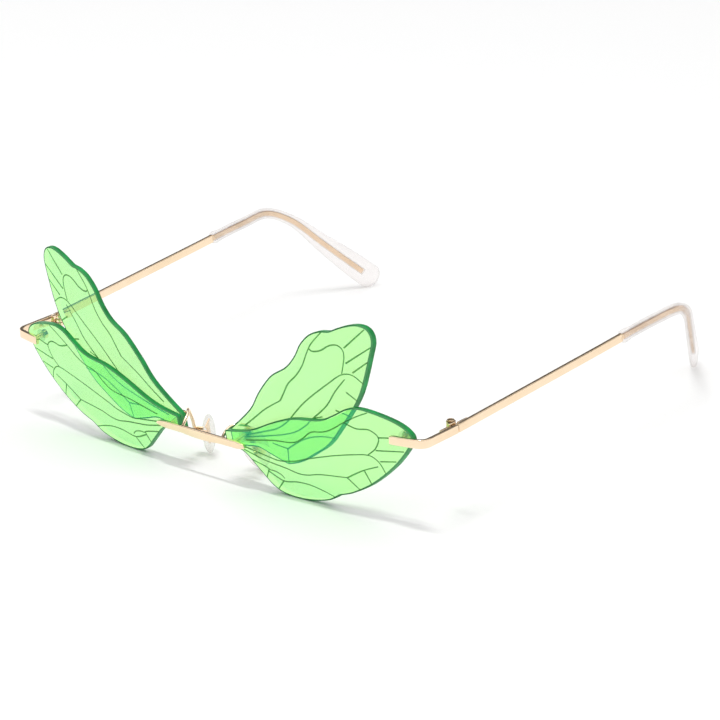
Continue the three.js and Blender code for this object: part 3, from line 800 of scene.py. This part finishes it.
def bridge_bar():
    """The bridge: a rounded rectangle carried along X between two height curves. The ends come to a point
    off quadratic curves, and the lower edge bows down between the nose pads."""
    half = BRIDGE_LENGTH / 2
    high = BRIDGE_HEIGHT / 2
    t = np.sin(np.linspace(0.06, 1, 14) * math.pi / 2)

    def bend(start, control, end):
        return (1 - t) ** 2 * start + 2 * t * (1 - t) * control + t * t * end

    tip_x = bend(half, half, half - BRIDGE_TAPER)
    tip_top = bend(-0.2, high, high)
    tip_low = bend(-0.2, -high, -high)
    low_x = bend(half, half - 1, half - BRIDGE_TAPER)
    tip_low = np.interp(tip_x[::-1], low_x[::-1], tip_low[::-1])[::-1]
    middle = np.linspace(half - BRIDGE_TAPER, 0, 18)[1:]
    bow = -high - BRIDGE_BOW * np.clip(1 - (middle / (half - BOW_STOPS_AT)) ** 2, 0, None)
    x = np.concatenate([tip_x, middle])
    top = np.concatenate([tip_top, np.full(len(middle), high)])
    low = np.concatenate([tip_low, bow])
    x, top, low = (np.concatenate([each, sign * each[-2::-1]])
                   for each, sign in ((x, -1), (top, 1), (low, 1)))
    radius = np.minimum(BAR_EDGE, (top - low) * BAR_EDGE_SHARE)
    loop = rounded_rectangle(np.full_like(x, BRIDGE_THICKNESS), top - low, radius)
    middle_y = (top + low) / 2
    grid = np.stack([np.broadcast_to(x[:, None], loop.shape[:2]), loop[..., 1] + middle_y[:, None],
                     loop[..., 0] + CLEAR + BRIDGE_THICKNESS / 2], -1)
    place = axes(ROOT_POINT * (0, 1, 1), BRIDGE_NORMAL, (1, 0, 0))
    return set_in(grid, place)


def washer(stack, place):
    """A clear washer: a flat ring with round outer edges."""
    bore = STUD_RADIUS + RUNNING
    return turned(bevelled(WASHER_RADIUS, -stack - WASHER_THICKNESS, -stack, 0.1, bore), place)


def nut(stack, place):
    """A hexagonal nut: its radius is the smaller of the hexagon's at that angle and the chamfer's cone."""
    front = -stack - WASHER_THICKNESS - CLEAR
    apothem = NUT_RADIUS * math.cos(math.pi / 6)

    def wall(radius, turn):
        hexagon = apothem / np.cos((turn + math.pi / 6) % (math.pi / 3) - math.pi / 6)
        return np.minimum(radius, np.maximum(hexagon, STUD_RADIUS + RUNNING))

    bore = STUD_RADIUS + RUNNING
    back = front - NUT_HEIGHT
    profile = [(bore, back), (1.06, back), (1.14, back + 0.05), (NUT_RADIUS, back + 0.16),
               (NUT_RADIUS, front - 0.16), (1.14, front - 0.05), (1.06, front), (bore, front)]
    return turned(profile, place, 72, wall)


# ---- End pieces and hinges ---------------------------------------------------------------------------


def end_strip():
    """The end piece: a flat strip on edge that lies on the lens, turns the corner on a quadratic curve and
    runs back to the joint. Its tab's end is rounded."""
    front = CLEAR + STRIP_THICKNESS / 2 + 0.15
    tab = lens_point((END_TAB_U, END_STUD[1])) + front * OUTWARD
    edge = lens_point((WING_REACH - 0.6, END_STUD[1])) + front * OUTWARD
    corner = np.array([TEMPLE_X, edge[1] + (TEMPLE_X - edge[0]) * 0.2])
    before = corner - np.array([1, 0.2]) * END_CORNER_RADIUS
    after = corner + np.array([0, END_CORNER_RADIUS])
    t = np.linspace(0, 1, 24)[:, None]
    bend = (1 - t) ** 2 * before + 2 * t * (1 - t) * corner + t * t * after
    plan = np.vstack([tab[:2], bend, [TEMPLE_X, JOINT_DEPTH - CLEAR / 2]])
    run = np.linalg.norm(np.diff(plan, axis=0), axis=1).sum()
    places, inset = rounded_ends(run, STRIP_END_EDGE)
    shares = np.concatenate([places[:4] / run, np.linspace(0.04, 0.97, 60), places[4:] / run])
    inset = np.concatenate([inset[:4], np.zeros(60), inset[4:]])
    path = at_shares(plan, shares)
    path = np.concatenate([path, np.full((len(path), 1), HINGE_Z)], 1)
    nose = 0.5 * (1 - np.sqrt(1 - np.clip(1 - shares * run / 0.6, 0, 1) ** 2))
    loop = rounded_rectangle(STRIP_THICKNESS - 2 * inset, STRIP_HEIGHT - 2 * inset - nose, 0.2 - 0.8 * inset)
    return carried(path, loop, UP)


def knuckle(level, direction):
    """A hinge knuckle: a turned ring whose outer radius swells, on the strip's side, to the square web that
    joins it to its plate."""
    low = level * (KNUCKLE_HEIGHT + KNUCKLE_GAP) - KNUCKLE_HEIGHT / 2
    high = low + KNUCKLE_HEIGHT
    bore = PIN_RADIUS + RUNNING
    reach = KNUCKLE_RADIUS + WEB_REACH
    profile = bevelled(KNUCKLE_RADIUS, low, high, SMALL_EDGE, bore, 3)

    def wall(radius, angle):
        cosine, sine = np.cos(angle), direction * np.sin(angle)
        inside = (cosine > 1e-6) & (sine > 1e-6)
        web = np.minimum(KNUCKLE_RADIUS / np.where(inside, cosine, 1), reach / np.where(inside, sine, 1))
        swell = np.where(inside, np.maximum(web / KNUCKLE_RADIUS, 1), 1)
        return np.where(radius > bore + 0.01, radius * swell, radius)

    return turned(profile, PIN_FRAME, 72, wall)


def hinge_leaf(direction, levels):
    """A hinge leaf: a small round-edged plate on the strip's inner side, and its knuckles round the pin."""
    offset = KNUCKLE_RADIUS + LEAF_OFFSET
    near, far = sorted((direction * offset, direction * (offset + LEAF_LENGTH)))
    half = STRIP_HEIGHT / 2 - 0.2
    plate = block((KNUCKLE_RADIUS - LEAF_THICKNESS, near, -half), (KNUCKLE_RADIUS, far, half), PLATE_EDGE,
                  PIN_FRAME)
    return tubes(plate) + loops(*(knuckle(level, direction) for level in levels))


def hinge_screw():
    """The hinge screw: a slotted head on the top knuckle and a plain shank down through all three."""
    head = slotted_head(SCREW_HEAD_RADIUS, HEAD_BASE, SCREW_HEAD_HEIGHT, 0.3, 0.2, PIN_FRAME)
    shank = turned(bevelled(PIN_RADIUS, -HINGE_TOP - 0.1, HEAD_BASE + 0.1, 0.1)[1:-1], PIN_FRAME, 32)
    return tubes(head, shank)


# ---- Temples and sleeves -----------------------------------------------------------------------------


def temple_curve():
    """The temple's centre line: nearly straight to the ear bend, then down, back and inward to the tip."""
    start = np.array([TEMPLE_X, JOINT_DEPTH + CLEAR / 2, HINGE_Z])
    top = np.array([TEMPLE_X + TEMPLE_SPLAY, JOINT_DEPTH + TEMPLE_STRAIGHT, HINGE_Z + TEMPLE_RISE])
    drop = top[2] - TIP_HEIGHT
    straight = [start + (top + (0, 0, 0.7) - start) * share for share in (0.3, 0.6, 0.88)]
    ear = [top + (-EAR_TOE_IN * inward, EAR_RUN * back, -drop * down)
           for inward, back, down in ((0.17, 0.26, 0.15), (0.45, 0.52, 0.45), (0.74, 0.77, 0.74), (1, 1, 1))]
    return smooth_curve([start, *straight, top, *ear], 80)


TEMPLE_CURVE = temple_curve()
TEMPLE_LENGTH = np.linalg.norm(np.diff(TEMPLE_CURVE, axis=0), axis=1).sum()


def temple_bar():
    """The temple: a flat strip with round edges, a short shoulder at the sleeve's mouth, and a thinner core
    that runs on inside the sleeve to a rounded end."""
    shoulder = SLEEVE_START - CLEAR / TEMPLE_LENGTH
    start_inset, start = quarter_round(STRIP_END_EDGE)
    end_inset, end = (each[::-1] for each in quarter_round(CORE_END_EDGE))
    strip = np.linspace(0.004, shoulder - 0.002, 70)
    step = np.array([shoulder - 0.0008, shoulder])
    core = np.linspace(shoulder + 0.0006, CORE_END - 0.004, 120)
    shares = np.concatenate([start / TEMPLE_LENGTH, strip, step, core, CORE_END - end / TEMPLE_LENGTH])
    inset = np.concatenate([start_inset, np.zeros(len(strip)), [0.0, 0.12], np.zeros(len(core)), end_inset])
    on_core = shares > shoulder + 0.0003
    width = np.where(on_core, CORE_THICKNESS, STRIP_THICKNESS) - 2 * inset
    height = np.where(on_core, CORE_HEIGHT, STRIP_HEIGHT) - 2 * inset
    radius = np.minimum(BAR_EDGE, BAR_EDGE_SHARE * np.minimum(width, height))
    return carried(at_shares(TEMPLE_CURVE, shares), rounded_rectangle(width, height, radius), UP)


def superellipse(width, height, power, sides):
    """A loop whose x and y are cosine and sine to the power 2/power, keeping their signs."""
    turn = (np.arange(sides) + 0.5) * 2 * math.pi / sides
    bulge = [np.sign(each) * np.abs(each) ** (2 / power) for each in (np.cos(turn), np.sin(turn))]
    return np.stack([bulge[0] * width[:, None] / 2, bulge[1] * height[:, None] / 2], -1)


def sleeve_shell():
    """The clear sleeve in one skin: up the bore from its closed end to the mouth, over the lip, and back
    along the outside, which narrows past the collar, swells to the flat paddle and rounds off at the tip."""
    share = np.sin(np.linspace(0, 1, 150) * math.pi / 2)
    collar = COLLAR_SWELL * (1 - smoothstep(share, 0, 0.06))
    paddle = (PADDLE_HEIGHT - SLEEVE_HEIGHT) * smoothstep(share, 0.4, 0.95)
    round_end = np.sqrt(1 - 0.97 * np.clip((share - END_ROUND) / (1 - END_ROUND), 0, None) ** 2)
    lip = LIP_ROUND * (1 - np.sqrt(1 - np.clip(1 - share / 0.004, 0, 1) ** 2))
    width = (SLEEVE_THICKNESS + collar) * (0.4 + 0.6 * round_end) - lip
    height = (SLEEVE_HEIGHT + collar + paddle) * round_end - lip
    outside = carried(at_shares(TEMPLE_CURVE, SLEEVE_START + (1 - SLEEVE_START) * share),
                      superellipse(width, height, 3, 36), UP)
    bore_share = np.linspace(CORE_END + CLEAR / TEMPLE_LENGTH, SLEEVE_START, 120)
    bore_curve = at_shares(TEMPLE_CURVE, bore_share[::-1])
    ones = np.ones(len(bore_share))
    section = superellipse(ones * (CORE_THICKNESS + 2 * CLEAR), ones * (CORE_HEIGHT + 2 * CLEAR), 4, 36)
    bore = carried(bore_curve, section, UP)[::-1]
    return tubes(np.concatenate([bore, outside]))


# ---- Nose pads ---------------------------------------------------------------------------------------

PAD_MIDDLE = np.array([8.2, 8.2, 6.0])
PAD_DOWN = unit([0.2, 0.34, -0.92])
PAD_TO_NOSE = unit(np.cross([0.36, 0.87, 0.5], PAD_DOWN))
PAD_SETBACK = PAD_THICKNESS / 2 + 0.45 + CLEVIS_DEPTH / 2
PAD_FRAME = axes(PAD_MIDDLE, PAD_TO_NOSE, PAD_DOWN)
SCREW_POINT = PAD_MIDDLE - PAD_TO_NOSE * PAD_SETBACK
CLEVIS_FRAME = axes(SCREW_POINT, PAD_TO_NOSE, PAD_DOWN)
PAD_SCREW_FRAME = axes(SCREW_POINT, PAD_FRAME[2], PAD_DOWN)


def pad_insert():
    """The metal insert: a thin T-shaped plate in the pad and a round-nosed tongue between the cheeks."""
    tongue = CLEVIS_WIDTH / 2 - CHEEK - CLEAR
    return tubes(
        block((-3.6, -0.8, -INSERT_HALF), (3, 0.8, INSERT_HALF), PLATE_EDGE, PAD_FRAME),
        block((-4.2, -1.6, -INSERT_HALF), (-3.4, 1.6, INSERT_HALF), PLATE_EDGE, PAD_FRAME),
        block((-0.7, -tongue, -PAD_SETBACK), (0.7, tongue, 0), 0.1, PAD_FRAME),
        turned(bevelled(0.7, -tongue, tongue, SMALL_EDGE)[1:-1], PAD_SCREW_FRAME),
    )


def pad_skin():
    """The clear pad: a flattened oval, an ellipse whose reach falls with the 0.9 power of the tilt's cosine
    while its height goes as the tilt's sine."""
    tilt = np.linspace(-math.pi / 2, math.pi / 2, 33)[1:-1]
    loop = circle(1.0, 64)
    reach = np.cos(tilt) ** 0.9
    grid = np.concatenate([
        loop[None] * reach[:, None, None] * (PAD_LENGTH / 2, PAD_WIDTH / 2),
        np.broadcast_to((np.sin(tilt) * PAD_THICKNESS / 2)[:, None, None], (len(tilt), 64, 1)),
    ], -1)
    return tubes(set_in(grid, PAD_FRAME))


def pad_arm():
    """The pad arm: a round wire from the bridge's back, up and over in a loop and down to the clevis, which
    is a flat band bent into a U."""
    start = ROOT_POINT * (0, 1, 1) + (7.0, 0.05, 0.3)
    nut_back = ROOT_STACK + WASHER_THICKNESS + CLEAR + NUT_HEIGHT + CLEAR
    loop = [start + (x, y + nut_back, z) for x, y, z in (
        (0.1, -5.02, 1.1), (0.5, -3.42, 2.2), (1.7, -1.82, 2.7), (3.2, -0.22, 2.2), (4.1, 1.38, 0.4))]
    back = set_in((0, 0, -CLEVIS_DEPTH / 2 - 0.3), CLEVIS_FRAME)
    path = at_shares(smooth_curve([start, *loop, (11.6, 5.8, 9.4), back]), np.linspace(0, 1, 80))
    wire = carried(path, circle(WIRE_RADIUS, 20), (1.0, 0.15, 0.0))
    half = CLEVIS_WIDTH / 2 - CHEEK / 2
    floor = -CLEVIS_DEPTH / 2 - 0.25
    down, along = quarter_round(0.42, 8)
    left = np.stack([-half + along, floor + down], -1)
    profile = np.vstack([[-half, CLEVIS_DEPTH / 2], [-half, CLEVIS_DEPTH / 2 - 0.02], left,
                         (left * (-1, 1))[::-1], [half, CLEVIS_DEPTH / 2 - 0.02], [half, CLEVIS_DEPTH / 2]])
    flat = np.concatenate([np.zeros((len(profile), 1)), profile], 1)
    band = set_in(flat, CLEVIS_FRAME)
    clevis = carried(band, rounded_rectangle(CHEEK - 0.04, 2.2, 0.12), CLEVIS_FRAME[1])
    return tubes(wire, clevis)


def pad_screw():
    """The pad screw: a slotted head on one cheek and a shank through both."""
    base = CLEVIS_WIDTH / 2 + 0.1
    head = slotted_head(0.7, base, 0.4, 0.2, 0.15, PAD_SCREW_FRAME)
    shank = turned(bevelled(PAD_SCREW_RADIUS, -CLEVIS_WIDTH / 2, base + 0.1, SMALL_EDGE)[1:-1],
                   PAD_SCREW_FRAME, 24)
    return tubes(head, shank)


# ---- Assembly ----------------------------------------------------------------------------------------

SLOT_FINISHES = {
    "green_lens": [WING_GREEN, EDGE_GREEN, PAINTED_GLOW_GREEN, PAINTED_SHADE_OUTLINE_GREEN],
    "pale_gold": [PALE_GOLD],
    "screw_gold": [SCREW_GOLD],
    "clear_plastic": [CLEAR_PLASTIC],
    "clear_silicone": [CLEAR_SILICONE],
}
ROOT_PIN = stud(ROOT_STACK, CLEAR + STUD_SINK, ROOT_FRAME)
END_PIN = stud(END_STACK, CLEAR + STRIP_THICKNESS / 2, END_FRAME)

make_piece("bridge_bar", tubes(bridge_bar(), ROOT_PIN, ROOT_PIN * (-1, 1, 1)), "front",
           "bridge", SLOT_FINISHES["pale_gold"])

LEFT_PIECES = [
    ("upper_wing", wing(UPPER_OUTLINE, UPPER_TIP, WING_STEP), "green_lens"),
    ("lower_wing", wing(LOWER_OUTLINE, LOWER_TIP, 0.0), "green_lens"),
    ("bridge_washer", loops(washer(ROOT_STACK, ROOT_FRAME)), "clear_plastic"),
    ("bridge_nut", loops(nut(ROOT_STACK, ROOT_FRAME)), "pale_gold"),
    ("end_piece", tubes(end_strip(), END_PIN), "pale_gold"),
    ("end_washer", loops(washer(END_STACK, END_FRAME)), "clear_plastic"),
    ("end_nut", loops(nut(END_STACK, END_FRAME)), "pale_gold"),
    ("front_hinge_leaf", hinge_leaf(-1, (-1, 1)), "pale_gold"),
    ("temple_hinge_leaf", hinge_leaf(1, (0,)), "pale_gold"),
    ("hinge_screw", hinge_screw(), "screw_gold"),
    ("temple", tubes(temple_bar()), "pale_gold"),
    ("temple_sleeve", sleeve_shell(), "clear_plastic"),
    ("pad_arm", pad_arm(), "pale_gold"),
    ("pad_core", pad_insert(), "pale_gold"),
    ("pad_screw", pad_screw(), "screw_gold"),
    ("nose_pad", pad_skin(), "clear_silicone"),
]
for name, shells, slot in LEFT_PIECES:
    for side, sign in (("left", 1), ("right", -1)):
        node = f"{name}_{side}"
        make_piece(f"{name}_shape_{side}", shells, frame["nodes"][node]["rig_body"], node,
                   SLOT_FINISHES[slot], sign)

for name, veins, depth in (("upper", UPPER_VEINS, WING_STEP), ("lower", LOWER_VEINS, 0.0)):
    for side, sign in (("left", 1), ("right", -1)):
        make_piece(f"{name}_wing_veins_{side}", vein_ribs(veins, depth), "front", None,
                   [VEIN_GREEN], sign)

# ---- Floor, light and camera -------------------------------------------------------------------------

# In metres, but for the camera's lens in millimetres.
FLOOR_REACH = 9.0
SKY_STOPS = [(0.0, 1.0), (0.13, 1.0), (0.24, 0.06), (0.62, 0.08), (0.78, 1.0), (1.0, 0.7)]  # (height, grey)
SKY_STRENGTH = 1.6
LAMP_SIZE = (0.5, 0.03)
LAMP_WATTS = 6.0
LAMP_PLACE = (0.0, -0.25, 1.4)
LAMP_TILT = math.radians(-7.5)
CAMERA_LENS = 154.37
CAMERA_PLACE = (0.51257, -0.61906, 0.31352)
CAMERA_RIGHT = (0.77321, 0.63355, -0.0277)
CAMERA_UP = (-0.20355, 0.28931, 0.93534)
CAMERA_BACK = (0.6006, -0.71758, 0.35266)


def plain_floor():
    """A wide flat square of pale paper under the glasses."""
    finish = Finish("floor_paper")
    fibre = finish.noise(900.0, 3.0)
    paper = finish.done(finish.solid(
        Base_Color=finish.ramp(fibre, [(0.3, (0.975, 0.975, 0.975)), (0.7, (0.99, 0.99, 0.99))]),
        Roughness=0.85,
    ))
    reach = FLOOR_REACH
    mesh = bpy.data.meshes.new("floor")
    mesh.from_pydata([(-reach, -reach, 0), (reach, -reach, 0), (reach, reach, 0), (-reach, reach, 0)], [],
                     [(0, 1, 2, 3)])
    mesh.materials.append(paper)
    floor = add_object("floor", mesh)


def studio_sky():
    """Soft light from all round: white overhead and at the horizon, with a dark band between."""
    world = bpy.data.worlds.new("studio")
    bpy.context.scene.world = world
    world.use_nodes = True
    tree = world.node_tree
    tree.nodes.clear()
    where = tree.nodes.new("ShaderNodeTexCoord")
    height = tree.nodes.new("ShaderNodeSeparateXYZ")
    ramp = tree.nodes.new("ShaderNodeValToRGB")
    back = tree.nodes.new("ShaderNodeBackground")
    out = tree.nodes.new("ShaderNodeOutputWorld")
    tree.links.new(where.outputs["Generated"], height.inputs[0])
    tree.links.new(height.outputs["Z"], ramp.inputs[0])
    tree.links.new(ramp.outputs[0], back.inputs["Color"])
    tree.links.new(back.outputs[0], out.inputs[0])
    set_stops(ramp.color_ramp.elements, [(position, (grey,) * 3) for position, grey in SKY_STOPS])
    back.inputs["Strength"].default_value = SKY_STRENGTH


def overhead_lamp():
    """A narrow strip of light high above the glasses and a little in front, its long side across them."""
    lamp = bpy.data.lights.new("overhead", "AREA")
    lamp.shape = "ELLIPSE"
    lamp.size, lamp.size_y = LAMP_SIZE
    lamp.energy = LAMP_WATTS
    holder = add_object("overhead", lamp)
    holder.location = LAMP_PLACE
    holder.rotation_euler = (LAMP_TILT, 0.0, 0.0)


def photographer():
    """The camera: a long lens in front of the glasses, to the wearer's left and above."""
    camera = bpy.data.cameras.new("camera")
    camera.sensor_width = 36.0
    camera.lens = CAMERA_LENS
    camera.clip_start = 0.01
    camera.clip_end = 50.0
    holder = add_object("camera", camera)
    turn = Matrix((CAMERA_RIGHT, CAMERA_UP, CAMERA_BACK)).transposed().to_4x4()
    holder.matrix_world = Matrix.Translation(CAMERA_PLACE) @ turn
    bpy.context.scene.camera = holder


plain_floor()
studio_sky()
overhead_lamp()
photographer()
bpy.context.scene.view_settings.view_transform = "Standard"
